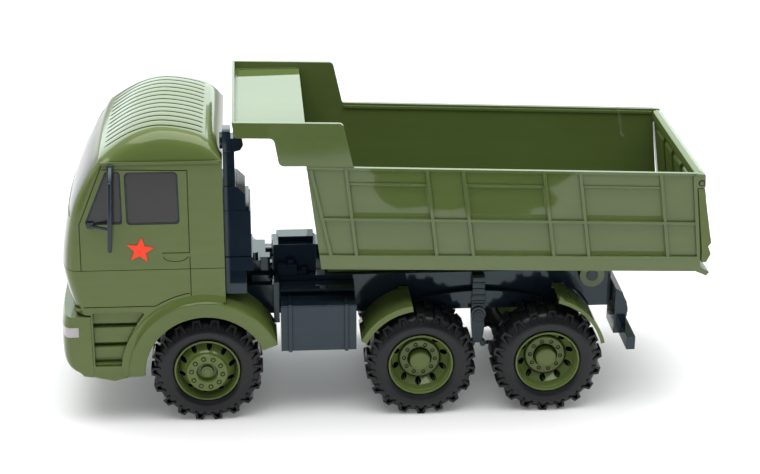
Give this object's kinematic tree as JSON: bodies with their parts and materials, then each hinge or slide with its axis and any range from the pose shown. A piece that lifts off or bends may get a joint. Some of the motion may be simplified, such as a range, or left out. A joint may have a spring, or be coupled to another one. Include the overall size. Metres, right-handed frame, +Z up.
{
  "type": "toy dump truck",
  "caption": "Toy tipper truck with a hinged load bed that tips to the rear, a swinging tailgate, freely turning wheels and a moulded forward-control cab.",
  "frame": {"origin": "on the floor, on the centre plane, half way between the bumper's front and the load bed's rear lip", "axes": "+Z up; the cab faces -X and the tailgate +X; -Y is the truck's left side"},
  "size_m": [0.6, 0.234, 0.294],
  "materials": {
    "green_plastic": "glossy olive green injection-moulded plastic",
    "black_plastic": "semi-gloss blue-black injection-moulded plastic",
    "tyre": "satin charcoal moulded tyre",
    "smoked_glazing": "smoked transparent plastic",
    "lamp_lens": "clear lamp plastic",
    "red_badge": "flat red",
    "steel": "plain bright steel"
  },
  "bodies": {
    "chassis": {"air_cleaner_box": "black_plastic", "air_intake_stack": "black_plastic", "axle_beam_front": "black_plastic", "axle_end_caps": "green_plastic", "axle_front": "steel", "axle_housing_middle": "black_plastic", "axle_housing_rear": "black_plastic", "axle_middle": "steel", "axle_rear": "steel", "bogie_bracket_left": "black_plastic", "bogie_bracket_right": "black_plastic", "cab_lower_shell": "green_plastic", "cab_screws": "steel", "cab_upper_shell": "green_plastic", "chassis_frame": "black_plastic", "door_badges": "red_badge", "front_bumper": "green_plastic", "front_grille": "black_plastic", "gearbox_block": "black_plastic", "headlight_lens_left": "lamp_lens", "headlight_lens_right": "lamp_lens", "hoist_pump_box": "black_plastic", "leaf_spring_front_left": "black_plastic", "leaf_spring_front_right": "black_plastic", "leaf_spring_rear_left": "black_plastic", "leaf_spring_rear_right": "black_plastic", "mid_fender_left": "green_plastic", "mid_fender_right": "green_plastic", "mirror_left": "black_plastic", "mirror_right": "black_plastic", "rear_bumper": "black_plastic", "rear_fender_left": "green_plastic", "rear_fender_right": "green_plastic", "side_glass_left": "smoked_glazing", "side_glass_right": "smoked_glazing", "side_tank_left": "black_plastic", "side_tank_right": "black_plastic", "tank_straps": "black_plastic", "torque_rods": "black_plastic", "tub_hinge_pin": "black_plastic", "windshield": "smoked_glazing"},
    "tub": {"dump_tub": "green_plastic"},
    "tailgate": {"tailgate": "green_plastic", "tailgate_pins": "steel"},
    "wheel_front_left": {"rim_front_left": "green_plastic", "tyre_front_left": "tyre"},
    "wheel_front_right": {"rim_front_right": "green_plastic", "tyre_front_right": "tyre"},
    "wheel_middle_left": {"hub_cap_middle_left": "green_plastic", "rim_middle_left": "green_plastic", "tyre_middle_left": "tyre"},
    "wheel_middle_right": {"hub_cap_middle_right": "green_plastic", "rim_middle_right": "green_plastic", "tyre_middle_right": "tyre"},
    "wheel_rear_left": {"hub_cap_rear_left": "green_plastic", "rim_rear_left": "green_plastic", "tyre_rear_left": "tyre"},
    "wheel_rear_right": {"hub_cap_rear_right": "green_plastic", "rim_rear_right": "green_plastic", "tyre_rear_right": "tyre"}
  },
  "joints": [
    {"name": "tub_tip", "type": "hinge", "parent": "chassis", "child": "tub", "pos_m": [0.2004, 0, 0.1207], "axis": [0, 1, 0], "range_deg": [0, 45]},
    {"name": "tailgate_swing", "type": "hinge", "parent": "tub", "child": "tailgate", "pos_m": [0.2866, 0, 0.2294], "axis": [0, -1, 0], "range_deg": [0, 75]},
    {"name": "wheel_front_left_spin", "type": "hinge", "parent": "chassis", "child": "wheel_front_left", "pos_m": [-0.16439, -0.0747, 0.0517], "axis": [0, 1, 0], "continuous": true},
    {"name": "wheel_front_right_spin", "type": "hinge", "parent": "chassis", "child": "wheel_front_right", "pos_m": [-0.16439, 0.0747, 0.0517], "axis": [0, 1, 0], "continuous": true},
    {"name": "wheel_middle_left_spin", "type": "hinge", "parent": "chassis", "child": "wheel_middle_left", "pos_m": [0.03442, -0.0747, 0.0517], "axis": [0, 1, 0], "continuous": true},
    {"name": "wheel_middle_right_spin", "type": "hinge", "parent": "chassis", "child": "wheel_middle_right", "pos_m": [0.03442, 0.0747, 0.0517], "axis": [0, 1, 0], "continuous": true},
    {"name": "wheel_rear_left_spin", "type": "hinge", "parent": "chassis", "child": "wheel_rear_left", "pos_m": [0.15375, -0.0747, 0.0517], "axis": [0, 1, 0], "continuous": true},
    {"name": "wheel_rear_right_spin", "type": "hinge", "parent": "chassis", "child": "wheel_rear_right", "pos_m": [0.15375, 0.0747, 0.0517], "axis": [0, 1, 0], "continuous": true}
  ]
}
